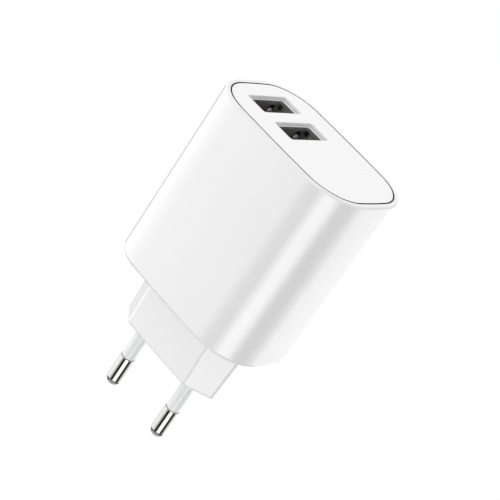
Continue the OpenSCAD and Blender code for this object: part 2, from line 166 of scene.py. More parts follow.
def pillow_ring(width: float, depth: float, radius: float, z: float, bow: Point) -> Ring:
    """Traces a round-cornered rectangle whose sides bow outwards a little.

    Args:
        width: Whole width.
        depth: Whole depth.
        radius: Radius of the corners.
        z: Height of the ring.
        bow: How far the ends of the side and of the broad face lean back, in degrees.

    Returns:
        The ring, with CORNER_POINTS on each corner and SIDE_POINTS on each side.
    """
    side, broad = (math.radians(max(b, 0.01)) for b in bow)
    lift_x = width / 2 - radius * (math.cos(side) + math.sin(side) * math.tan(side / 2))
    lift_y = depth / 2 - radius * (math.cos(broad) + math.sin(broad) * math.tan(broad / 2))
    mix = math.tan(side / 2) * math.tan(broad / 2)
    x = (lift_x - lift_y * math.tan(side / 2)) / (1 - mix)
    y = (lift_y - lift_x * math.tan(broad / 2)) / (1 - mix)
    far = (x + radius * math.sin(broad)) / math.sin(broad)
    out = (y + radius * math.sin(side)) / math.sin(side)
    corner = [side + (math.pi / 2 - broad - side) * i / (CORNER_POINTS - 1)
              for i in range(CORNER_POINTS)]
    one = [(x + radius * math.cos(a), y + radius * math.sin(a)) for a in corner]
    shares = [1 - 2 * i / (SIDE_POINTS + 1) for i in range(1, SIDE_POINTS + 1)]
    top = [(far * math.sin(broad * t), depth / 2 - far * (1 - math.cos(broad * t)))
           for t in shares]
    left = [(out * (1 - math.cos(side * t)) - width / 2, out * math.sin(side * t))
            for t in shares]
    half = one + top + [(-u, v) for u, v in reversed(one)] + left
    return [Vector((u, v, z)) for u, v in half + [(-u, -v) for u, v in half]]


def circle_ring(radius: float, z: float, centre: Point, steps: int = 48) -> Ring:
    """Traces a circle of `steps` points."""
    turns = [2 * math.pi * i / steps for i in range(steps)]
    return [Vector((centre[0] + radius * math.cos(a), centre[1] + radius * math.sin(a), z))
            for a in turns]


def quarter(steps: int) -> list[Point]:
    """Gives the sine and cosine of even steps from 0 to a right angle."""
    angles = [math.pi / 2 * i / steps for i in range(steps + 1)]
    return [(math.sin(a), math.cos(a)) for a in angles]


# ---------------------------------------------------------------- solids


class Blank:
    """Closed solids gathered in one mesh, before it becomes an object."""

    def __init__(self) -> None:
        """Starts with no geometry."""
        self.mesh = bmesh.new()

    def loft(self, rings: Sequence[Ring], closed: bool = False) -> "Blank":
        """Skins rings of equal count.

        Args:
            rings: The rings, in order.
            closed: Joins the last ring to the first, and otherwise both get a cap.

        Returns:
            This blank.
        """
        rows = [[self.mesh.verts.new(p * MM) for p in ring] for ring in rings]
        count = len(rows[0])
        for i in range(len(rows) if closed else len(rows) - 1):
            low, high = rows[i], rows[(i + 1) % len(rows)]
            for j in range(count):
                k = (j + 1) % count
                self.mesh.faces.new((low[j], low[k], high[k], high[j]))
        if not closed:
            self.mesh.faces.new(list(reversed(rows[0])))
            self.mesh.faces.new(rows[-1])
        return self

    def lathe(self, profile: Sequence[Point], centre: Point, steps: int = 48) -> "Blank":
        """Turns a profile of (radius, height) points about an upright axis."""
        return self.loft([circle_ring(max(r, 0.02), z, centre, steps) for r, z in profile])

    def box(self, low: Sequence[float], high: Sequence[float], edge: float = 0.0) -> "Blank":
        """Adds a box between two corners.

        Args:
            low: Its lowest corner.
            high: Its highest corner.
            edge: Rounding of its edges, or 0 for sharp ones.

        Returns:
            This blank.
        """
        width, depth = high[0] - low[0], high[1] - low[1]
        centre = ((low[0] + high[0]) / 2, (low[1] + high[1]) / 2)
        if not edge:
            corners = [(low[0], low[1]), (high[0], low[1]), (high[0], high[1]), (low[0], high[1])]
            return self.loft([[Vector((x, y, z)) for x, y in corners] for z in (low[2], high[2])])
        arc = quarter(3)
        stack = [(1 - s, low[2] + edge * (1 - c)) for s, c in arc]
        stack += [(1 - c, high[2] - edge * (1 - s)) for s, c in arc]
        return self.loft([
            rect_ring(width - 2 * edge * inset, depth - 2 * edge * inset,
                      edge * (1 - inset) + 0.02, z, centre, 4) for inset, z in stack])

    def prism(self, outline: Sequence[Point], start: float, end: float,
              place: Callable[[float, float, float], Vector]) -> "Blank":
        """Extrudes an outline between two values, placed by a function of (u, v, w)."""
        return self.loft([[place(u, v, w) for u, v in outline] for w in (start, end)])

    def make(self, name: str) -> bpy.types.Object:
        """Makes the object, with its faces turned outwards."""
        bmesh.ops.recalc_face_normals(self.mesh, faces=self.mesh.faces)
        data = bpy.data.meshes.new(name)
        self.mesh.to_mesh(data)
        self.mesh.free()
        piece = bpy.data.objects.new(name, data)
        bpy.context.scene.collection.objects.link(piece)
        return piece


def baked(piece: bpy.types.Object) -> bpy.types.Object:
    """Applies every modifier of a piece to its mesh."""
    graph = bpy.context.evaluated_depsgraph_get()
    graph.update()
    data = bpy.data.meshes.new_from_object(
        piece.evaluated_get(graph), preserve_all_data_layers=True, depsgraph=graph)
    data.name = piece.name
    piece.modifiers.clear()
    piece.data = data
    return piece


def combine(piece: bpy.types.Object, other: Blank, how: Join) -> bpy.types.Object:
    """Cuts the solids of a blank from a piece, or adds them to it.

    Args:
        piece: The piece that changes.
        other: The solids brought in.
        how: Cut or add.

    Returns:
        The piece.
    """
    tool = other.make(piece.name + "_tool")
    change = piece.modifiers.new("change", "BOOLEAN")
    change.operation = how.value
    change.solver = "MANIFOLD"
    change.object = tool
    baked(piece)
    bpy.data.objects.remove(tool)
    return piece


def smoothed(piece: bpy.types.Object, angle: float = 38.0) -> bpy.types.Object:
    """Shades a piece smooth, flat where it is flat, with its real corners kept sharp."""
    piece.data.shade_smooth()
    piece.data.set_sharp_from_angle(angle=math.radians(angle))
    weigh = piece.modifiers.new("weigh", "WEIGHTED_NORMAL")
    weigh.keep_sharp = True
    weigh.weight = 100
    return baked(piece)


def settle(piece: bpy.types.Object, finish: bpy.types.Material, slot: str, body: str,
           *nodes: str) -> bpy.types.Object:
    """Dresses a finished piece, sets it on the body it moves with and hides the CAD nodes it stands
    for.

    Args:
        piece: The piece, in its place.
        finish: Its material.
        slot: The record's slot that the finish comes from; not used.
        body: The body it moves with.
        *nodes: The CAD nodes it stands for.

    Returns:
        The piece.
    """
    piece.data.materials.clear()
    piece.data.materials.append(finish)
    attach(piece, body)
    if nodes:
        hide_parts(*nodes)
    LOG.info("%s: %d faces, on %s", piece.name, len(piece.data.polygons), body)
    return piece


# ---------------------------------------------------------------- node trees


class Sheet:
    """Adds nodes to one tree, with their values and links in one call each."""

    def __init__(self, tree: bpy.types.NodeTree) -> None:
        """Takes the tree that the nodes go in."""
        self.tree = tree

    def add(self, kind: str, inputs: dict | None = None, **settings: object) -> bpy.types.Node:
        """Adds a node.

        Args:
            kind: Blender's name for the node.
            inputs: Values or sockets, by the input's name or number.
            **settings: Settings of the node itself.

        Returns:
            The node.
        """
        node = self.tree.nodes.new(kind)
        for name, value in settings.items():
            setattr(node, name, value)
        for key, value in (inputs or {}).items():
            if isinstance(value, bpy.types.NodeSocket):
                self.tree.links.new(value, node.inputs[key])
            else:
                node.inputs[key].default_value = value
        return node

    def math(self, operation: str, *values: object) -> bpy.types.NodeSocket:
        """Adds a Math node and gives its result."""
        return self.add("ShaderNodeMath", dict(enumerate(values)), operation=operation).outputs[0]

    def spread(self, value: bpy.types.NodeSocket, low: float, high: float,
               start: float = 0.0, end: float = 1.0) -> bpy.types.NodeSocket:
        """Spreads a value from start..end over low..high."""
        keys = {"Value": value, "From Min": start, "From Max": end, "To Min": low, "To Max": high}
        return self.add("ShaderNodeMapRange", keys).outputs["Result"]

    def blend(self, mask: bpy.types.NodeSocket, first: object,
              second: object) -> bpy.types.NodeSocket:
        """Blends two colours by a mask."""
        node = self.add("ShaderNodeMix", {0: mask, 6: first, 7: second}, data_type="RGBA")
        return node.outputs[2]


def group_of(name: str, inputs: dict[str, float | None],
             outputs: Sequence[str]) -> tuple[bpy.types.NodeTree, Sheet, bpy.types.Node]:
    """Starts a shader group with a Coordinates input and named numbers.

    Args:
        name: The group's name.
        inputs: Number inputs and their usual values.
        outputs: Names of the number outputs.

    Returns:
        The tree, its sheet and its input node.
    """
    tree = bpy.data.node_groups.new(name, "ShaderNodeTree")
    tree.interface.new_socket("Coordinates", in_out="INPUT", socket_type="NodeSocketVector")
    for label, value in inputs.items():
        socket = tree.interface.new_socket(label, in_out="INPUT", socket_type="NodeSocketFloat")
        socket.default_value = value
    for label in outputs:
        tree.interface.new_socket(label, in_out="OUTPUT", socket_type="NodeSocketFloat")
    sheet = Sheet(tree)
    return tree, sheet, sheet.add("NodeGroupInput")


def moulded_skin() -> bpy.types.NodeTree:
    """Builds the group for a moulded surface: fine ripple, flow shade and handling marks."""
    tree, sheet, given = group_of(
        "moulded skin", {"Ripple": 1400.0, "Flow": 45.0, "Marks": 160.0},
        ("Height", "Shade", "Marks"))
    where = given.outputs["Coordinates"]
    ripple = sheet.add("ShaderNodeTexNoise", {
        "Vector": where, "Scale": given.outputs["Ripple"], "Detail": 3.0, "Roughness": 0.55})
    flow = sheet.add("ShaderNodeTexNoise", {
        "Vector": where, "Scale": given.outputs["Flow"], "Detail": 2.0, "Distortion": 0.6})
    marks = sheet.add("ShaderNodeTexNoise", {
        "Vector": where, "Scale": given.outputs["Marks"], "Detail": 6.0, "Roughness": 0.7})
    sheet.add("NodeGroupOutput", {
        "Height": ripple.outputs["Fac"],
        "Shade": sheet.spread(flow.outputs["Fac"], 0.0, 1.0, 0.3, 0.7),
        "Marks": sheet.spread(marks.outputs["Fac"], 0.0, 1.0, 0.45, 0.75)})
    return tree


def worked_metal() -> bpy.types.NodeTree:
    """Builds the group for rolled or turned metal: lines and tarnish."""
    tree, sheet, given = group_of(
        "worked metal", {"Lines": 900.0, "Across X": 1.0, "Across Y": 1.0, "Across Z": 0.06,
                         "Tarnish": 220.0}, ("Height", "Lines", "Tarnish"))
    where = given.outputs["Coordinates"]
    ways = [given.outputs[f"Across {axis}"] for axis in "XYZ"]
    pull = sheet.add("ShaderNodeCombineXYZ", dict(enumerate(ways)))
    drawn = sheet.add("ShaderNodeVectorMath", {0: where, 1: pull.outputs[0]},
                      operation="MULTIPLY")
    lines = sheet.add("ShaderNodeTexNoise", {
        "Vector": drawn.outputs[0], "Scale": given.outputs["Lines"], "Detail": 4.0,
        "Roughness": 0.6})
    tarnish = sheet.add("ShaderNodeTexNoise", {
        "Vector": where, "Scale": given.outputs["Tarnish"], "Detail": 5.0, "Roughness": 0.65})
    sheet.add("NodeGroupOutput", {
        "Height": lines.outputs["Fac"],
        "Lines": sheet.spread(lines.outputs["Fac"], 0.0, 1.0, 0.3, 0.7),
        "Tarnish": sheet.spread(tarnish.outputs["Fac"], 0.0, 1.0, 0.4, 0.75)})
    return tree


def grains() -> bpy.types.NodeTree:
    """Builds the group for cells: copper under a board's mask, ferrite grain and specks."""
    tree, sheet, given = group_of(
        "grains", {"Cells": 700.0, "Edge": 0.12}, ("Cell", "Border", "Height"))
    where = given.outputs["Coordinates"]
    cells = sheet.add("ShaderNodeTexVoronoi", {"Vector": where, "Scale": given.outputs["Cells"]},
                      distance="MANHATTAN")
    split = sheet.add("ShaderNodeSeparateColor", {"Color": cells.outputs["Color"]})
    border = sheet.math("LESS_THAN", cells.outputs["Distance"], given.outputs["Edge"])
    sheet.add("NodeGroupOutput", {
        "Cell": split.outputs[0], "Border": border, "Height": cells.outputs["Distance"]})
    return tree


class Effects:
    """The shared shader groups, each built once."""

    def __init__(self) -> None:
        """Builds the groups."""
        self.skin = moulded_skin()
        self.metal = worked_metal()
        self.grain = grains()


EFFECTS = Effects()


class Dish:
    """A new material with its shader, coordinates and one of the shared groups."""

    def __init__(self, name: str, group: bpy.types.NodeTree, **numbers: float) -> None:
        """Sets out the material.

        Args:
            name: The material's name.
            group: The shared group it draws on.
            **numbers: Values for the group's inputs, with _ for a space.
        """
        self.material = bpy.data.materials.new(name)
        self.material.use_nodes = True
        tree = self.material.node_tree
        self.sheet = Sheet(tree)
        self.shader = tree.nodes["Principled BSDF"]
        where = self.sheet.add("ShaderNodeTexCoord").outputs["Object"]
        values = {key.replace("_", " "): value for key, value in numbers.items()}
        self.group = self.sheet.add("ShaderNodeGroup", node_tree=group)
        tree.links.new(where, self.group.inputs["Coordinates"])
        for key, value in values.items():
            self.group.inputs[key].default_value = value

    def out(self, name: str) -> bpy.types.NodeSocket:
        """Gives an output of the shared group."""
        return self.group.outputs[name]

    def feed(self, name: str, value: object) -> None:
        """Links a socket to the shader's input, or sets its constant."""
        if isinstance(value, bpy.types.NodeSocket):
            self.sheet.tree.links.new(value, self.shader.inputs[name])
        else:
            self.shader.inputs[name].default_value = value

    def colours(self, mask: str, first: Colour, second: Colour) -> None:
        """Blends two base colours by one of the group's masks."""
        self.feed("Base Color", self.sheet.blend(self.out(mask), (*first, 1), (*second, 1)))

    def lay_painted_shade(self, mask: bpy.types.NodeSocket, colour: Colour) -> None:
        """Lays a painted shade colour over the base colour where the mask is 1."""
        under = self.shader.inputs["Base Color"].links[0].from_socket
        self.feed("Base Color", self.sheet.blend(mask, under, (*colour, 1)))

    def seam_walls(self, low: float, high: float, reach: float) -> bpy.types.NodeSocket:
        """Finds the walls of the panel's seam, which get a painted dark shade standing in for the
        shadow in the gap.

        Args:
            low: Height where the seam's walls begin.
            high: Height where they end, just below the face.
            reach: How far out a wall stands, above 0 where it faces outward.

        Returns:
            A mask, 1 on the seam's walls.
        """
        sheet = self.sheet
        where = sheet.add("ShaderNodeTexCoord").outputs["Object"]
        height = sheet.add("ShaderNodeSeparateXYZ", {0: where}).outputs[2]
        level = sheet.add("ShaderNodeVectorMath", {0: where, 1: (1, 1, 0)},
                          operation="MULTIPLY").outputs[0]
        normal = sheet.add("ShaderNodeNewGeometry").outputs["Normal"]
        out = sheet.add("ShaderNodeVectorMath", {0: level, 1: normal},
                        operation="DOT_PRODUCT").outputs["Value"]
        facing = sheet.math("GREATER_THAN" if reach > 0 else "LESS_THAN", out, reach * MM)
        above = sheet.math("GREATER_THAN", height, low * MM)
        below = sheet.math("LESS_THAN", height, high * MM)
        return sheet.math("MULTIPLY", facing, sheet.math("MULTIPLY", above, below))

    def bump(self, height: str, distance: float, strength: float = 1.0) -> None:
        """Raises the surface by one of the group's heights, `distance` in millimetres."""
        bump = self.sheet.add("ShaderNodeBump", {
            "Height": self.out(height), "Distance": distance * MM, "Strength": strength})
        self.feed("Normal", bump.outputs["Normal"])


@dataclass(frozen=True)
class Plastic:
    """Moulded plastic: a colour, its gloss and how strongly its skin ripples."""

    name: str
    colour: Colour
    shade: float = 0.985
    gloss: float = 0.16
    marks: float = 0.05
    ripple: float = 0.0006
    ripple_scale: float = 1400.0
    coat: float = 0.0
    bend: float = 1.5
    # The seam walls that get a painted shade, if any: where they begin, where they end, their
    # reach.
    seam: tuple[float, float, float] | None = None

    def build(self) -> bpy.types.Material:
        """Makes the material."""
        dish = Dish(self.name, EFFECTS.skin, Ripple=self.ripple_scale)
        dish.feed("IOR", self.bend)
        dish.colours("Shade", self.colour, tuple(c * self.shade for c in self.colour))
        if self.seam:
            # Paints a near-black shade on the seam's walls, standing in for the shadow in the gap.
            dish.lay_painted_shade(dish.seam_walls(*self.seam), PAINTED_SEAM_SHADE)
        dish.feed("Roughness", dish.sheet.spread(dish.out("Marks"), self.gloss,
                                                 self.gloss + self.marks))
        dish.feed("Coat Weight", self.coat)
        dish.feed("Coat Roughness", self.gloss / 2)
        dish.bump("Height", self.ripple)
        return dish.material


@dataclass(frozen=True)
class Metal:
    """Worked metal: its colour, its tarnished colour, gloss and lines."""

    name: str
    colour: Colour
    tarnish: Colour
    gloss: float = 0.2
    spread: float = 0.12
    lines: float = 900.0
    depth: float = 0.0012
    along: tuple[float, float, float] = (1.0, 1.0, 0.06)

    def build(self) -> bpy.types.Material:
        """Makes the material."""
        dish = Dish(self.name, EFFECTS.metal, Lines=self.lines, Across_X=self.along[0],
                    Across_Y=self.along[1], Across_Z=self.along[2])
        dish.colours("Tarnish", self.colour, self.tarnish)
        dish.feed("Metallic", 1.0)
        dish.feed("Roughness", dish.sheet.spread(dish.out("Lines"), self.gloss,
                                                 self.gloss + self.spread))
        dish.bump("Height", self.depth)
        return dish.material


@dataclass(frozen=True)
class Grained:
    """A solid with cells in it: a board under its mask, ferrite, card or ceramic."""

    name: str
    colour: Colour
    other: Colour
    cells: float = 700.0
    edge: float = 0.12
    mask: str = "Border"
    gloss: float = 0.4
    depth: float = 0.004

    def build(self) -> bpy.types.Material:
        """Makes the material."""
        dish = Dish(self.name, EFFECTS.grain, Cells=self.cells, Edge=self.edge)
        dish.colours(self.mask, self.colour, self.other)
        dish.feed("Roughness", dish.sheet.spread(dish.out("Cell"), self.gloss,
                                                 self.gloss + 0.12))
        dish.bump("Height", self.depth)
        return dish.material


# The seam's painted shade, a near-black colour standing in for the shadow deep in the gap,
# and its two walls: where each begins, where it ends, and how far out it stands. The recess
# in the case faces inward, so its reach is below 0.
PAINTED_SEAM_SHADE = (0.02, 0.02, 0.02)
SEAM_TOP = 66.17
RECESS_WALL = (64.1, SEAM_TOP, -13.0)
PLATE_WALL = (64.2, SEAM_TOP, 13.0)
WHITE = (0.855, 0.855, 0.857)
FINISHES = {
    "case_white": Plastic("glossy white case", WHITE, coat=0.5, bend=1.6,
                          seam=RECESS_WALL),
    "panel_white": Plastic("glossy white panel", (0.92, 0.92, 0.922), gloss=0.2, coat=0.4,
                           bend=1.6, seam=PLATE_WALL),
    "carrier_white": Plastic("white carrier", (0.78, 0.78, 0.77), gloss=0.4),
    "sleeve_white": Plastic("white pin sleeve", (0.82, 0.825, 0.83), gloss=0.24, ripple=0.0),
    "pin_nickel": Metal("nickel on brass", (0.45, 0.45, 0.44), (0.4, 0.4, 0.39), 0.05, 0.05,
                        1500.0, 0.0003, (0.1, 0.1, 1.0)),
    "strip_copper": Metal("phosphor bronze strip", (0.78, 0.5, 0.3), (0.6, 0.36, 0.2)),
    "contact_gold": Metal("gold on contact spring", (0.9, 0.68, 0.3), (0.8, 0.58, 0.26), 0.15),
    "port_steel": Metal("tinned steel sheet", (0.74, 0.74, 0.74), (0.66, 0.66, 0.66), 0.34, 0.12),
    "tongue_black": Plastic("black tongue", (0.02, 0.02, 0.022), 0.9, 0.4, 0.1, 0.002, 2600.0),
    "board_green": Grained("green board", (0.012, 0.1, 0.035), (0.03, 0.19, 0.06), 420.0, 0.3),
    "core_ferrite": Grained("ferrite", (0.05, 0.048, 0.047), (0.02, 0.02, 0.02), 3500.0, 0.2,
                            gloss=0.55),
    "bobbin_black": Plastic("black bobbin", (0.02, 0.02, 0.02), 0.9, 0.45, 0.1, 0.002, 2600.0),
    "winding_copper": Metal("enamelled copper wire", (0.72, 0.3, 0.12), (0.56, 0.2, 0.08), 0.22),
    "tape_yellow": Plastic("yellow tape", (0.85, 0.6, 0.08), 0.9, 0.35, 0.15, 0.003, 900.0),
    "card_clear": Grained("insulating card", (0.7, 0.66, 0.52), (0.64, 0.6, 0.46), 3000.0, 0.3,
                          gloss=0.5),
    "can_blue": Plastic("blue can sleeve", (0.02, 0.03, 0.13), 0.85, 0.3, 0.1, 0.001, 1200.0),
    "can_black": Plastic("black can sleeve", (0.02, 0.02, 0.022), 0.85, 0.3, 0.1, 0.001, 1200.0),
    "resistor_green": Plastic("green lacquer", (0.16, 0.3, 0.2), 0.85, 0.35, 0.15, 0.006, 900.0),
    "chip_black": Plastic("black moulding compound", (0.025, 0.025, 0.026), 0.85, 0.5, 0.1,
                          0.003, 3600.0),
    "opto_white": Plastic("white moulding compound", (0.75, 0.74, 0.7), 0.95, 0.45, 0.1,
                          0.002, 3000.0),
    "disc_blue": Plastic("blue dipped ceramic", (0.03, 0.12, 0.4), 0.85, 0.3, 0.1, 0.008, 700.0),
    "smd_tan": Grained("tan ceramic", (0.5, 0.38, 0.24), (0.42, 0.3, 0.18), 4000.0, 0.3,
                       gloss=0.45),
    "header_black": Plastic("black header", (0.02, 0.02, 0.02), 0.9, 0.45, 0.1, 0.002, 2600.0),
}


class Paints:
    """The materials by the record's slot names, each made when it is first asked for."""

    def __init__(self) -> None:
        """Starts with none made."""
        self.made: dict[str, bpy.types.Material] = {}

    def __getitem__(self, slot: str) -> bpy.types.Material:
        """Gives a slot's material."""
        if slot not in self.made:
            self.made[slot] = FINISHES[slot].build()
        return self.made[slot]


# ---------------------------------------------------------------- geometry node trees


class Repeater:
    """A Geometry Nodes tree, run once for each piece that it makes."""

    def __init__(self, name: str, sizes: dict[str, str]) -> None:
        """Starts a tree with named inputs.

        Args:
            name: The tree's name.
            sizes: Input names and the last part of their socket types.
        """
        self.tree = bpy.data.node_groups.new(name, "GeometryNodeTree")
        self.sheet = Sheet(self.tree)
        face = self.tree.interface
        face.new_socket("Geometry", in_out="INPUT", socket_type="NodeSocketGeometry")
        self.ids = {}
        for label, kind in {**sizes, "Finish": "Material"}.items():
            socket = face.new_socket(label, in_out="INPUT", socket_type=f"NodeSocket{kind}")
            self.ids[label] = socket.identifier
        face.new_socket("Geometry", in_out="OUTPUT", socket_type="NodeSocketGeometry")
        self.given = self.sheet.add("NodeGroupInput")

    def end(self, geometry: bpy.types.NodeSocket) -> None:
        """Ends the tree with real copies in their material."""
        real = self.sheet.add("GeometryNodeRealizeInstances", {0: geometry})
        dressed = self.sheet.add("GeometryNodeSetMaterial", {
            "Geometry": real.outputs[0], "Material": self.given.outputs["Finish"]})
        self.sheet.add("NodeGroupOutput", {0: dressed.outputs[0]})

    def run(self, name: str, places: Iterable[Vector], **values: object) -> bpy.types.Object:
        """Makes one piece from the tree.

        Args:
            name: The piece's name.
            places: Points that the tree works on.
            **values: The tree's inputs, with _ for a space.

        Returns:
            The piece, as a plain mesh.
        """
        data = bpy.data.meshes.new(name)
        data.from_pydata([tuple(p * MM) for p in places], [], [])
        piece = bpy.data.objects.new(name, data)
        bpy.context.scene.collection.objects.link(piece)
        change = piece.modifiers.new("repeat", "NODES")
        change.node_group = self.tree
        for key, value in values.items():
            change[self.ids[key.replace("_", " ")]] = value
        return baked(piece)


def copies_tree() -> Repeater:
    """Builds the tree that sets a copy of a piece at each place, each turned a little."""
    made = Repeater("copies at places", {"Piece": "Object", "Lean": "Float", "Seed": "Int"})
    sheet, given = made.sheet, made.given
    source = sheet.add("GeometryNodeObjectInfo", {"Object": given.outputs["Piece"]},
                       transform_space="ORIGINAL")
    least = sheet.math("MULTIPLY", given.outputs["Lean"], -1.0)
    lean = sheet.add("FunctionNodeRandomValue", {
        "Seed": given.outputs["Seed"], 2: least, 3: given.outputs["Lean"]}, data_type="FLOAT")
    turn = sheet.add("ShaderNodeCombineXYZ", {2: lean.outputs[1]})
    placed = sheet.add("GeometryNodeInstanceOnPoints", {
        "Points": given.outputs["Geometry"], "Instance": source.outputs["Geometry"],
        "Rotation": turn.outputs[0]})
    made.end(placed.outputs[0])
    return made


def turns_tree() -> Repeater:
    """Builds the tree that winds wire round a block with round corners."""
    made = Repeater("turns of wire", {"Width": "Float", "Depth": "Float", "Corner": "Float",
                                      "Wire": "Float", "Turns": "Int"})
    sheet, given = made.sheet, made.given
    loop = sheet.add("GeometryNodeCurvePrimitiveQuadrilateral", {
        "Width": given.outputs["Width"], "Height": given.outputs["Depth"]})
    soft = sheet.add("GeometryNodeFilletCurve", {
        "Curve": loop.outputs[0], "Radius": given.outputs["Corner"], "Count": 4}, mode="POLY")
    half = sheet.math("DIVIDE", given.outputs["Wire"], 2.0)
    wire = sheet.add("GeometryNodeCurvePrimitiveCircle", {"Resolution": 8, "Radius": half})
    turn = sheet.add("GeometryNodeCurveToMesh", {
        "Curve": soft.outputs[0], "Profile Curve": wire.outputs[0]})
    step = sheet.add("ShaderNodeCombineXYZ", {2: given.outputs["Wire"]})
    rows = sheet.add("GeometryNodeMeshLine", {
        "Count": given.outputs["Turns"], "Offset": step.outputs[0]})
    stack = sheet.add("GeometryNodeInstanceOnPoints", {
        "Points": rows.outputs[0], "Instance": turn.outputs[0]})
    whole = sheet.add("GeometryNodeInstanceOnPoints", {
        "Points": given.outputs["Geometry"], "Instance": stack.outputs[0]})
    made.end(whole.outputs[0])
    return made


# ---------------------------------------------------------------- case and panel


@dataclass
class CaseBody:
    """The case: a hollow body with round ends and its plug collar, in one moulding."""

    width: float = 47.2
    depth: float = 32.4
    length: float = 49.0
    corner: float = 11.6
    wall: float = 2.0
    bow: Point = (2.5, 2.0)
    rim_side: float = 1.0
    rim_end: float = 1.4
    port_edge: float = 0.45
    rear_edge: float = 0.9
    seam_edge: float = 0.05
    panel_thick: float = 2.0
    collar_length: float = 17.2
    collar_width: float = 35.3
    collar_depth: float = 14.0
    taper_width: float = 1.7
    taper_depth: float = 1.8
    collar_side: float = 1.2
    collar_floor: float = 4.0
    collar_corner: float = 1.4
    face_edge: float = 0.7
    root_fillet: float = 0.6
    pin_pitch: float = 18.6
    pin_hole: float = 1.83
    pocket: Point = (25.6, 8.0)
    rail_in: float = 16.8
    board_y: float = 9.0
    board_thick: float = 1.6
    rail_top: float = 49.9
    hook_depth: float = 7.0
    hook_width: float = 6.0
    hook_in: float = 0.6
    hook_gap: float = 0.3
    notch_deep: float = 0.6
    notch_tall: float = 2.8
    grip: float = 1.2
    rail_gap: float = 0.1
    board_half: float = 18.0
    post_in: float = 3.0
    post_width: float = 2.2
    post_half: float = 1.0

    @property
    def top(self) -> float:
        """Height of the port end."""
        return self.collar_length + self.length

    @property
    def floor(self) -> float:
        """Height of the cavity's floor."""
        return self.collar_length + self.wall

    @property
    def hook_x(self) -> float:
        """Distance of the panel's hooks from the middle of the width."""
        return self.width / 2 - self.corner - self.hook_width / 2 - self.hook_in

    def body_ring(self, inset: float, z: float) -> Ring:
        """Gives the body's outline, drawn in by `inset`."""
        return pillow_ring(self.width - 2 * inset, self.depth - 2 * inset,
                           self.corner - inset, z, self.bow)

    def seam_ring(self, outset: float, z: float) -> Ring:
        """Gives the outline of the panel's recess, grown by `outset`."""
        return pillow_ring(self.width - 2 * (self.rim_end - outset),
                           self.depth - 2 * (self.rim_side - outset),
                           self.corner - self.rim_end + outset, z, self.bow)

    def collar_ring(self, inset: float, z: float) -> Ring:
        """Gives the collar's outline at a height, drawn in by `inset`."""
        left = 1 - min(z, self.collar_length) / self.collar_length
        x = (self.collar_width - self.taper_width * left) / 2 - inset
        y = (self.collar_depth - self.taper_depth * left) / 2 - inset
        slope = (self.collar_width + self.collar_side - self.taper_width * left) / 2
        slope -= inset * math.sqrt(2)
        corners = [(x, slope - x), (slope - y, y)]
        corners += [(-u, v) for u, v in reversed(corners)]
        corners += [(-u, -v) for u, v in corners]
        ring = rounded(corners, max(self.collar_corner - inset, 0.1), CORNER_POINTS // 2, z)
        return filled(ring, CORNER_POINTS, SIDE_POINTS)

    def skin(self) -> list[Ring]:
        """Gives the rings from the plug's face, over the outside, to the cavity's floor."""
        top, root, arc = self.top, self.collar_length, quarter(6)
        rings = [self.collar_ring(self.face_edge * (1 - s), self.face_edge * (1 - c))
                 for s, c in arc]
        rings += [self.collar_ring(-self.root_fillet * (1 - c), root - self.root_fillet * (1 - s))
                  for s, c in arc]
        rings += [self.body_ring(self.rear_edge * (1 - s), root + self.rear_edge * (1 - c))
                  for s, c in arc]
        rings += [self.body_ring(self.port_edge * (1 - c), top - self.port_edge * (1 - s))
                  for s, c in arc]
        rings += [self.seam_ring(self.seam_edge * (1 - s), top - self.seam_edge * (1 - c))
                  for s, c in quarter(3)]
        ledge = top - self.panel_thick
        rings.append(self.seam_ring(0, ledge))
        rings += [self.body_ring(self.wall, z) for z in (ledge, self.floor)]
        rings += [filled(rect_ring(*self.pocket, 0.3, z, steps=CORNER_POINTS), CORNER_POINTS,
                         SIDE_POINTS) for z in (self.floor, self.collar_floor)]
        return rings

    def cavity_half(self, y: float) -> float:
        """Gives half the cavity's width at a distance y from the middle."""
        radius = self.corner - self.wall
        past = abs(y) - (self.depth / 2 - self.wall - radius)
        straight = self.width / 2 - self.wall - radius
        return straight + (radius if past <= 0 else math.sqrt(radius ** 2 - past ** 2))

    def fittings(self) -> Blank:
        """Gives the board rails and the posts that stand on the cavity's floor."""
        blank, low, gap, grip = Blank(), self.floor - 0.3, self.rail_gap, self.grip
        slot = self.board_y - gap, self.board_y + self.board_thick + gap
        for side in (-1, 1):
            edge = self.cavity_half(slot[1] + grip) + self.wall / 2
            groove = self.board_half + gap
            for near, far, inner in ((self.board_y - grip, slot[0], self.rail_in),
                                     (slot[0] - 0.05, slot[1] + 0.05, groove),
                                     (slot[1], self.board_y + self.board_thick + grip,
                                      self.rail_in)):
                xs = sorted((side * inner, side * edge))
                blank.box((xs[0], near, low), (xs[1], far, self.rail_top))
            y = -self.depth / 2 + self.wall + self.post_in
            xs = sorted((side * (self.cavity_half(y) - self.post_width),
                         side * (self.cavity_half(y) + self.wall / 2)))
            blank.box((xs[0], y - self.post_half, low), (xs[1], y + self.post_half, self.rail_top))
        return blank

    def openings(self) -> Blank:
        """Gives the pin holes and the notches for the panel's hooks."""
        blank = Blank()
        for side in (-1, 1):
            blank.lathe([(self.pin_hole, -1), (self.pin_hole, self.collar_floor + 1)],
                        (side * self.pin_pitch / 2, 0))
        inside = self.depth / 2 - self.wall
        low = self.top - self.panel_thick - self.hook_depth - self.hook_gap
        half = self.hook_width / 2 + self.hook_gap
        for side in (-1, 1):
            for face in (-1, 1):
                ys = sorted((face * (inside - 0.5), face * (inside + self.notch_deep)))
                blank.box((side * self.hook_x - half, ys[0], low),
                          (side * self.hook_x + half, ys[1], low + self.notch_tall))
        return blank

    def build(self, paints: Paints) -> bpy.types.Object:
        """Makes the case."""
        piece = Blank().loft(self.skin()).make("case_body")
        combine(piece, self.fittings(), Join.ADD)
        combine(piece, self.openings(), Join.CUT)
        return settle(smoothed(piece), paints["case_white"], "case_white", BODY, "case")


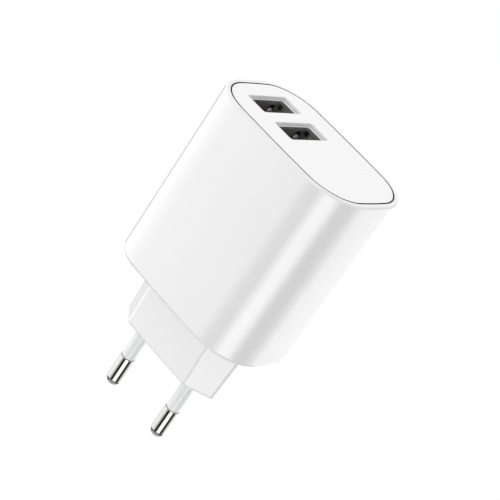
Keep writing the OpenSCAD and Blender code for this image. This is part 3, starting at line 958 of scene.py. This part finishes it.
@dataclass
class PortPanel:
    """The panel let into the port end, with a flared opening for each port."""

    case: CaseBody
    seam: float = 0.4
    edge: float = 0.05
    opening: Point = (6.3, 14.8)
    opening_corner: float = 0.7
    opening_edge: float = 0.2
    ports: Point = (-14.0, -4.0)
    hook_thick: float = 1.2
    barb: float = 0.5

    def plate(self) -> list[Ring]:
        """Gives the plate's rings, from its back to its face."""
        low, top = self.case.top - self.case.panel_thick, self.case.top
        rings = [self.case.seam_ring(-self.seam, low)]
        rings += [self.case.seam_ring(-self.seam - self.edge * (1 - c), top - self.edge * (1 - s))
                  for s, c in quarter(4)]
        return rings

    def cutters(self) -> Blank:
        """Gives the openings' solids, flared at the face."""
        blank, top = Blank(), self.case.top
        flare = [(self.opening_edge * (1 - c), top - self.opening_edge * (1 - s))
                 for s, c in quarter(5)]
        stack = [(0.0, top - self.case.panel_thick - 1)] + flare + [(flare[-1][0], top + 0.3)]
        for x in self.ports:
            blank.loft([rect_ring(self.opening[0] + 2 * out, self.opening[1] + 2 * out,
                                  self.opening_corner + out, z, (x, 0)) for out, z in stack])
        return blank

    def hooks(self) -> Blank:
        """Gives the four snap hooks behind the plate."""
        case, blank = self.case, Blank()
        back = case.top - case.panel_thick
        outer = case.depth / 2 - case.wall - 0.1
        low = back - case.hook_depth
        outline = [(outer - self.hook_thick, back + 0.2), (outer, back + 0.2), (outer, low + 2),
                   (outer + self.barb, low + 1.6), (outer, low), (outer - self.hook_thick, low)]
        for side in (-1, 1):
            for face in (-1, 1):
                blank.prism(outline, side * case.hook_x - case.hook_width / 2,
                            side * case.hook_x + case.hook_width / 2,
                            lambda u, v, w, face=face: Vector((w, face * u, v)))
        return blank

    def build(self, paints: Paints) -> bpy.types.Object:
        """Makes the panel."""
        piece = Blank().loft(self.plate()).make("port_panel_plate")
        combine(piece, self.hooks(), Join.ADD)
        combine(piece, self.cutters(), Join.CUT)
        return settle(smoothed(piece), paints["panel_white"], "panel_white", BODY, "port_panel")


# ---------------------------------------------------------------- plug


@dataclass
class PlugPin:
    """One pin with its insulating sleeve, from its round tip to its tail."""

    side: str
    x: float
    length: float = 19.0
    radius: float = 2.0
    core: float = 1.4
    sleeve_length: float = 10.0
    sleeve_radius: float = 1.83
    sleeve_inside: float = 3.0
    flange: float = 2.5
    flange_low: float = 4.0
    flange_high: float = 5.6
    tail: float = 21.4
    shoulder: float = 0.14

    def metal(self) -> list[Point]:
        """Gives the profile of the pin's metal."""
        arc = quarter(12)
        profile = [(self.radius * s, -self.length + self.radius * (1 - c)) for s, c in arc]
        end = -self.sleeve_length
        profile += [(self.radius - self.shoulder * (1 - c), end - self.shoulder * (1 - s))
                    for s, c in quarter(3)]
        profile += [(self.core, end), (self.core, self.flange_low),
                    (self.flange, self.flange_low), (self.flange, self.flange_high),
                    (self.core, self.flange_high), (self.core, self.tail - 0.3),
                    (self.core - 0.3, self.tail)]
        return profile

    def jacket(self) -> list[Ring]:
        """Gives the closed loop of rings of the sleeve."""
        low, high, soft = -self.sleeve_length, self.sleeve_inside, 0.1
        loop = [(self.core + 0.005, low), (self.sleeve_radius - soft, low),
                (self.sleeve_radius, low + soft), (self.sleeve_radius, high),
                (self.core + 0.005, high)]
        return [circle_ring(r, z, (self.x, 0.0)) for r, z in loop]

    def build(self, paints: Paints) -> list[bpy.types.Object]:
        """Makes the pin and its sleeve."""
        metal = Blank().lathe(self.metal(), (self.x, 0.0), 64).make(f"pin_{self.side}_metal")
        jacket = Blank().loft(self.jacket(), closed=True).make(f"pin_{self.side}_sleeve")
        return [settle(smoothed(metal), paints["pin_nickel"], "pin_nickel", BODY,
                       f"pin_{self.side}"),
                settle(smoothed(jacket), paints["sleeve_white"], "sleeve_white", BODY,
                       f"sleeve_{self.side}")]


# ---------------------------------------------------------------- ports


@dataclass
class Port:
    """One receptacle: its shell, tongue, spring fingers and contact springs."""

    number: int
    x: float
    copies: Repeater
    lip_z: float = 65.5
    length: float = 14.0
    inside: Point = (5.12, 12.5)
    sheet: float = 0.3
    lip: Point = (6.1, 14.6)
    lip_round: float = 0.16
    inner_corner: float = 0.34
    window_width: float = 2.7
    window_low: float = 57.0
    window_high: float = 64.3
    side_window_x: Point = (-2.56, -1.36)
    side_window_z: Point = (63.1, 64.5)
    leg_low: float = 49.9
    finger_pitch: float = 7.0
    finger_width: float = 2.0
    finger_low: float = 57.1
    finger_length: float = 6.0
    finger_bend: float = 0.42
    bend_share: float = 0.72
    tongue_x: float = 0.0
    tongue_thick: float = 1.84
    tongue_width: float = 11.1
    tongue_top: float = 63.9
    base_height: float = 3.6
    contact_y: tuple[float, ...] = (-3.5, -1.0, 1.0, 3.5)
    contact_width: float = 1.0
    contact_thick: float = 0.2
    contact_slot: float = 0.8
    contact_proud: float = 0.3
    contact_low: float = 55.2
    contact_top: float = 63.0
    contact_sink: float = 0.3
    contact_taper: float = 0.35
    taper_start: float = 0.85
    fit_gap: float = 0.1
    tail_half: float = 0.25
    tail_deep: float = 0.5

    @property
    def base_z(self) -> float:
        """Height of the shell's lower end."""
        return self.lip_z - self.length

    def shell_ring(self, out: Point, z: float) -> Ring:
        """Gives an outline round the port, grown from the inside wall by `out`."""
        return rect_ring(self.inside[0] + 2 * out[0], self.inside[1] + 2 * out[1],
                         self.inner_corner + min(out), z, (self.x, 0.0))

    def shell_rings(self) -> list[Ring]:
        """Gives the shell's closed loop of rings, with its flanged mouth."""
        reach = [(self.lip[i] - self.inside[i]) / 2 for i in (0, 1)]
        soft, under = self.lip_round, self.lip_z - self.sheet
        rings = [self.shell_ring((0, 0), self.base_z)]
        rings += [self.shell_ring((soft * (1 - c), soft * (1 - c)),
                                  self.lip_z - soft * (1 - s)) for s, c in quarter(5)]
        rings += [self.shell_ring([r - 0.08 * (1 - s) for r in reach],
                                  self.lip_z - 0.08 * (1 - c)) for s, c in quarter(3)]
        rings += [self.shell_ring(reach, under), self.shell_ring((self.sheet, self.sheet), under)]
        rings.append(self.shell_ring((self.sheet, self.sheet), self.base_z))
        return rings

    def windows(self) -> Blank:
        """Gives the windows' solids: round-topped for the fingers, square at the sides."""
        blank, half = Blank(), self.window_width / 2
        for y in (-self.finger_pitch / 2, self.finger_pitch / 2):
            arch = [(half * math.cos(a), self.window_high - half + half * math.sin(a))
                    for a in (math.pi * i / 16 for i in range(17))]
            outline = [(-half, self.window_low), (half, self.window_low)] + arch
            blank.prism([(u + y, v) for u, v in outline], -5.0, 5.0,
                        lambda u, v, w: Vector((self.x + w, u, v)))
        low, high = self.side_window_z
        for side in (-1, 1):
            ys = sorted((side * 5.9, side * 7.0))
            blank.box((self.x + self.side_window_x[0], ys[0], low),
                      (self.x + self.side_window_x[1], ys[1], high))
        return blank

    def legs(self) -> Blank:
        """Gives the two legs that pass through the board."""
        blank, outer = Blank(), self.inside[1] / 2 + self.sheet
        for side in (-1, 1):
            ys = sorted((side * outer, side * (outer - self.sheet)))
            blank.box((self.x - 1, ys[0], self.leg_low), (self.x + 1, ys[1], self.base_z + 0.2))
        return blank

    def bend(self, share: float, root: float, crest: float, tip: float) -> float:
        """Gives a spring's place off its wall at a share of its length.

        Args:
            share: How far along the spring, from 0 at its root to 1 at its tip.
            root: Its place at the root.
            crest: Its place at the crest of the bend.
            tip: Its place at the tip.

        Returns:
            The place.
        """
        if share <= self.bend_share:
            rise = 0.5 - 0.5 * math.cos(math.pi * share / self.bend_share)
            return root + (crest - root) * rise
        past = (share - self.bend_share) / (1 - self.bend_share)
        return crest + (tip - crest) * past ** 2

    def strip(self, side: Side) -> Blank:
        """Gives one spring finger, for a port at x = 0, with a half-round tip.

        Args:
            side: The wide wall that it belongs to.

        Returns:
            The finger's solid.
        """
        wall, half, rings = self.inside[0] / 2, self.finger_width / 2, []
        shares = [i / 12 * (1 - 1 / self.finger_length) for i in range(13)]
        tip = self.finger_length - half
        shares += [(tip + half * math.sin(a)) / self.finger_length
                   for a in (math.pi / 2 * i / 8 for i in range(1, 9))]
        for share in shares:
            x = self.bend(share, wall, wall - self.finger_bend, wall + self.sheet / 3)
            z = self.finger_low + share * self.finger_length
            over = max(share * self.finger_length - tip, 0) / half
            w = half * math.sqrt(max(1 - over ** 2, 0.0004))
            soft = min(0.05, w / 3)
            outline = [(x, w - soft), (x, soft - w), (x + soft, -w),
                       (x + self.sheet - soft, -w), (x + self.sheet, soft - w),
                       (x + self.sheet, w - soft), (x + self.sheet - soft, w), (x + soft, w)]
            rings.append([Vector((side.value * u, v, z)) for u, v in outline])
        return Blank().loft(rings)

    def contact(self) -> Blank:
        """Gives one contact spring, for a port at x = 0, bowed proud of the tongue."""
        back = self.tongue_x + self.contact_slot - self.contact_sink
        length, half, rings = self.contact_top - self.contact_low, self.contact_width / 2, []
        for i in range(17):
            share = i / 16
            x = self.bend(share, back - self.contact_thick,
                          self.tongue_x - self.contact_proud, self.tongue_x)
            z = self.contact_low + share * length
            past = max(share - self.taper_start, 0) / (1 - self.taper_start)
            w = half * (1 - self.contact_taper * past)
            rings.append([Vector((u, v, z)) for u, v in (
                (x, w), (x, -w), (x + self.contact_thick, -w), (x + self.contact_thick, w))])
        return Blank().loft(rings)

    def tongue(self) -> bpy.types.Object:
        """Makes the tongue on its base, with a slot for each contact and a soft tip."""
        low = self.base_z
        wall = [across / 2 - self.fit_gap for across in self.inside]
        x = self.x + self.tongue_x
        piece = Blank().box((self.x - wall[0], -wall[1], low),
                            (self.x + wall[0], wall[1], low + self.base_height),
                            0.15).make(f"port_{self.number}_tongue")
        blade = Blank().box((x, -self.tongue_width / 2, low + 0.5),
                            (x + self.tongue_thick, self.tongue_width / 2, self.tongue_top), 0.3)
        combine(piece, blade, Join.ADD)
        slots, half = Blank(), self.contact_width / 2 + self.fit_gap
        back, root = x + self.contact_slot - self.contact_sink, low + self.base_height
        for y in self.contact_y:
            slots.box((x - 0.01, y - half, root),
                      (x + self.contact_slot, y + half, self.contact_top + self.contact_sink))
            slots.box((back - self.tail_deep, y - self.tail_half, low - 0.2),
                      (back, y + self.tail_half, root + 0.01))
        return smoothed(combine(piece, slots, Join.CUT))

    def repeated(self, name: str, blank: Blank, ys: Sequence[float], slot: str, body: str,
                 paints: Paints, node: str) -> bpy.types.Object:
        """Sets copies of a solid across the port, as one piece on one body.

        Args:
            name: The piece's name.
            blank: The solid, for a port at x = 0.
            ys: Where the copies go.
            slot: The finish's slot.
            body: The body that the piece moves with.
            paints: The materials.
            node: The CAD node that it stands for.

        Returns:
            The piece.
        """
        one = blank.make(name + "_one")
        places = [Vector((self.x, y, 0)) for y in ys]
        piece = self.copies.run(name, places, Piece=one, Lean=0.0, Seed=0, Finish=paints[slot])
        bpy.data.objects.remove(one)
        return settle(smoothed(piece), paints[slot], slot, body, node)

    def build(self, paints: Paints) -> None:
        """Makes the port's pieces."""
        tag, node = f"port_{self.number}", f"usb_{self.number}"
        shell = Blank().loft(self.shell_rings(), closed=True).make(tag + "_shell")
        combine(shell, self.legs(), Join.ADD)
        combine(shell, self.windows(), Join.CUT)
        settle(smoothed(shell), paints["port_steel"], "port_steel", BODY, node + "_shell")
        settle(self.tongue(), paints["tongue_black"], "tongue_black", BODY, node + "_tongue")
        ys = (-self.finger_pitch / 2, self.finger_pitch / 2)
        for side in Side:
            label = side.name.lower()
            self.repeated(f"{tag}_fingers_{label}", self.strip(side), ys, "port_steel",
                          f"{node}_spring_{label}", paints, f"{node}_spring_{label}")
        self.repeated(tag + "_contact_springs", self.contact(), self.contact_y, "contact_gold",
                      node + "_contacts", paints, node + "_contacts")


# ---------------------------------------------------------------- inside


@dataclass
class Inside:
    """The parts on the boards that get a finer shape than their CAD solids."""

    copies: Repeater
    turns: Repeater
    wire: float = 0.28
    winding_corner: float = 1.2
    stand: float = 0.4
    groove: float = 0.35
    soft: float = 0.5
    bung: Point = (0.3, 0.6)
    hem: Point = (0.15, 0.8)
    groove_start: float = 1.5
    groove_floor: Point = (1.8, 2.2)
    groove_end: float = 2.5
    rim: Point = (0.9, 0.02)
    dish: Point = (1.0, 0.2)
    lead_radius: float = 0.3
    lead_share: float = 0.4
    lead_in: float = 0.2

    def can(self, node: str, slot: str, paints: Paints) -> bpy.types.Object:
        """Makes a capacitor's can in the place of its CAD solid.

        Args:
            node: The CAD node.
            slot: The finish's slot.
            paints: The materials.

        Returns:
            The piece.
        """
        low, high = (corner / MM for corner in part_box(node))
        size = high - low
        along_y = size.y > size.z
        radius = size.x / 2
        length = size.y if along_y else size.z
        stand, neck = self.stand, self.groove + self.bung[0]
        foot = [(neck, 0.0), (neck, self.bung[1]), (self.hem[0], self.bung[1]),
                (0.0, self.hem[1]), (0.0, self.groove_start)]
        foot += [(self.groove, height) for height in self.groove_floor]
        foot.append((0.0, self.groove_end))
        profile = [(radius - inset, stand + height) for inset, height in foot]
        profile += [(radius - self.soft * (1 - c), length - self.soft * (1 - s))
                    for s, c in quarter(4)]
        profile += [(radius - inset, length - drop) for inset, drop in (self.rim, self.dish)]
        profile.append((0, length - self.dish[1]))
        blank = Blank().lathe(profile, (0.0, 0.0))
        for side in (-1, 1):
            blank.lathe([(self.lead_radius, 0.0), (self.lead_radius, stand + self.lead_in)],
                        (side * radius * self.lead_share, 0.0), 12)
        piece = blank.make(node + "_can")
        place = Matrix.Translation(((low.x + high.x) / 2 * MM, (low.y + high.y) / 2 * MM,
                                    low.z * MM))
        if along_y:
            place = Matrix.Translation(((low.x + high.x) / 2 * MM, high.y * MM,
                                        (low.z + high.z) / 2 * MM))
            place = place @ Matrix.Rotation(math.pi / 2, 4, "X")
        piece.data.transform(place)
        return settle(smoothed(piece), paints[slot], slot, BODY, node)

    def winding(self, paints: Paints) -> bpy.types.Object:
        """Makes the transformer's winding as turns of wire in the CAD block's place."""
        low, high = (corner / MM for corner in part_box("transformer_winding"))
        size, middle = high - low, (low + high) / 2
        count = int(size.z / self.wire)
        start = low.z + (size.z - (count - 1) * self.wire) / 2
        piece = self.turns.run(
            "transformer_turns", [Vector((middle.x, middle.y, start))],
            Width=(size.x - self.wire) * MM, Depth=(size.y - self.wire) * MM,
            Corner=self.winding_corner * MM, Wire=self.wire * MM, Turns=count,
            Finish=paints["winding_copper"])
        piece.data.shade_smooth()
        return settle(piece, paints["winding_copper"], "winding_copper", BODY,
                      "transformer_winding")

    def build(self, paints: Paints) -> None:
        """Makes the pieces."""
        for number in (1, 2):
            self.can(f"input_capacitor_{number}", "can_blue", paints)
            self.can(f"output_capacitor_{number}", "can_black", paints)
        self.winding(paints)


def dress_nodes(paints: Paints) -> None:
    """Gives every CAD node that still shows the finish of its slot in the record."""
    for entry in frame["record"]["subparts"]:
        node, slot = frame["nodes"][entry["node"]], entry["material_slot"]
        if node.hide_render:
            continue
        node.data.materials.clear()
        node.data.materials.append(paints[slot])
        LOG.info("%s: CAD shape, %s", entry["node"], slot)


# ---------------------------------------------------------------- studio


@dataclass(frozen=True)
class Panel:
    """One upright soft panel of light: where it stands, its spread and its power.

    Angles are in degrees. The power is full within half_width and fades over soft.
    """

    azimuth: float
    half_width: float
    soft: float
    power: float


@dataclass
class Studio:
    """The camera, the light round the object and the floor."""

    target: tuple[float, float, float] = (2.3, 0.0, 35.2)
    distance: float = 456.1
    azimuth: float = 28.9
    elevation: float = 24.3
    roll: float = 34.2
    lens: float = 138.7
    left_panel: Panel = Panel(-160.0, 25.0, 50.0, 1.9)
    strip_light: Panel = Panel(-40.0, 5.0, 30.0, 3.5)
    right_panel: Panel = Panel(75.0, 20.0, 50.0, 1.75)
    dome: float = 0.96
    dome_lean: float = 0.25
    dome_side: float = 180.0
    ground: float = 0.3
    panel_top: tuple[float, float] = (-12.0, -18.0)
    panel_foot: tuple[float, float] = (-34.0, -40.0)
    ground_end: tuple[float, float] = (-52.0, -62.0)
    backdrop: float = 1.0
    floor_drop: float = 250.0
    floor_radius: float = 160.0
    floor_thick: float = 2.0

    def camera(self) -> bpy.types.Object:
        """Makes the camera, turned about its own line of sight by the roll."""
        turn, rise, roll = (math.radians(a) for a in (self.azimuth, self.elevation, self.roll))
        back = Vector((math.sin(turn) * math.cos(rise), -math.cos(turn) * math.cos(rise),
                       math.sin(rise)))
        level = Vector((math.cos(turn), math.sin(turn), 0.0))
        right = level * math.cos(roll) + back.cross(level) * math.sin(roll)
        axes = Matrix((right, back.cross(right), back)).transposed()
        data = bpy.data.cameras.new("view")
        data.lens = self.lens
        camera = bpy.data.objects.new("view", data)
        bpy.context.scene.collection.objects.link(camera)
        place = (Vector(self.target) + back * self.distance) * MM
        camera.matrix_world = Matrix.Translation(place) @ axes.to_4x4()
        bpy.context.scene.camera = camera
        return camera

    @staticmethod
    def fade(sheet: Sheet, angle: bpy.types.NodeSocket, start: float,
             end: float) -> bpy.types.NodeSocket:
        """Gives a soft step, 0 at the start angle and 1 at the end angle, in degrees."""
        keys = {0: angle, 1: math.radians(start), 2: math.radians(end)}
        return sheet.add("ShaderNodeMapRange", keys, interpolation_type="SMOOTHSTEP").outputs[0]

    def surround(self) -> None:
        """Makes the world: white to look at, with soft panels of light and dark gaps."""
        world = bpy.data.worlds.new("studio")
        bpy.context.scene.world = world
        world.use_nodes = True
        sheet = Sheet(world.node_tree)
        world.node_tree.nodes.clear()
        way = sheet.add("ShaderNodeTexCoord").outputs["Generated"]
        split = sheet.add("ShaderNodeSeparateXYZ", {0: way})
        angle = sheet.math("ARCTAN2", split.outputs[1], split.outputs[0])
        rise = sheet.math("ARCSINE", split.outputs[2])
        band = 0.0
        for panel in (self.left_panel, self.strip_light, self.right_panel):
            away = sheet.math("SUBTRACT", angle, math.radians(panel.azimuth))
            away = sheet.math("ABSOLUTE", sheet.math("WRAP", away, math.pi, -math.pi))
            glow = self.fade(sheet, away, panel.half_width + panel.soft, panel.half_width)
            band = sheet.math("ADD", band, sheet.math("MULTIPLY", glow, panel.power))
        lean = sheet.math("COSINE", sheet.math("SUBTRACT", angle, math.radians(self.dome_side)))
        light = sheet.math("ADD", sheet.math("MULTIPLY", lean, self.dome_lean), self.dome)
        for (start, end), level in ((self.panel_top, band), (self.panel_foot, self.ground),
                                    (self.ground_end, 0.0)):
            below = self.fade(sheet, rise, start, end)
            light = sheet.add("ShaderNodeMix", {0: below, 2: light, 3: level}).outputs[0]
        lit = sheet.add("ShaderNodeBackground", {"Strength": light})
        seen = sheet.add("ShaderNodeBackground", {"Strength": self.backdrop})
        for node in (lit, seen):
            node.inputs["Color"].default_value = (1, 1, 1, 1)
        path = sheet.add("ShaderNodeLightPath")
        pick = sheet.add("ShaderNodeMixShader", {
            0: path.outputs["Is Camera Ray"], 1: lit.outputs[0], 2: seen.outputs[0]})
        sheet.add("ShaderNodeOutputWorld", {0: pick.outputs[0]})

    def floor(self) -> None:
        """Makes the pale floor, well below the pins."""
        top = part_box("pin_left")[0].z / MM - self.floor_drop
        edge = [(self.floor_radius, z) for z in (top - self.floor_thick, top)]
        blank = Blank().lathe(edge, (0.0, 0.0), 96)
        floor = blank.make("floor")
        floor.data.materials.append(
            Plastic("pale floor", (0.82, 0.82, 0.82), gloss=0.6, ripple=0.0).build())

    def build(self) -> None:
        """Sets the camera, the light and the floor."""
        bpy.context.scene.view_settings.view_transform = "Standard"
        self.camera()
        self.surround()
        self.floor()


def main() -> None:
    """Builds every sub-assembly in order."""
    logging.basicConfig(level=logging.INFO, format="%(name)s: %(message)s")
    paints = Paints()
    Studio().build()
    copies = copies_tree()
    case = CaseBody()
    case.build(paints)
    panel = PortPanel(case)
    panel.build(paints)
    for side, way in (("left", -1), ("right", 1)):
        PlugPin(side, way * case.pin_pitch / 2).build(paints)
    for number, x in enumerate(panel.ports, 1):
        Port(number, x, copies).build(paints)
    Inside(copies, turns_tree()).build(paints)
    dress_nodes(paints)


if __name__ == "__main__":
    main()
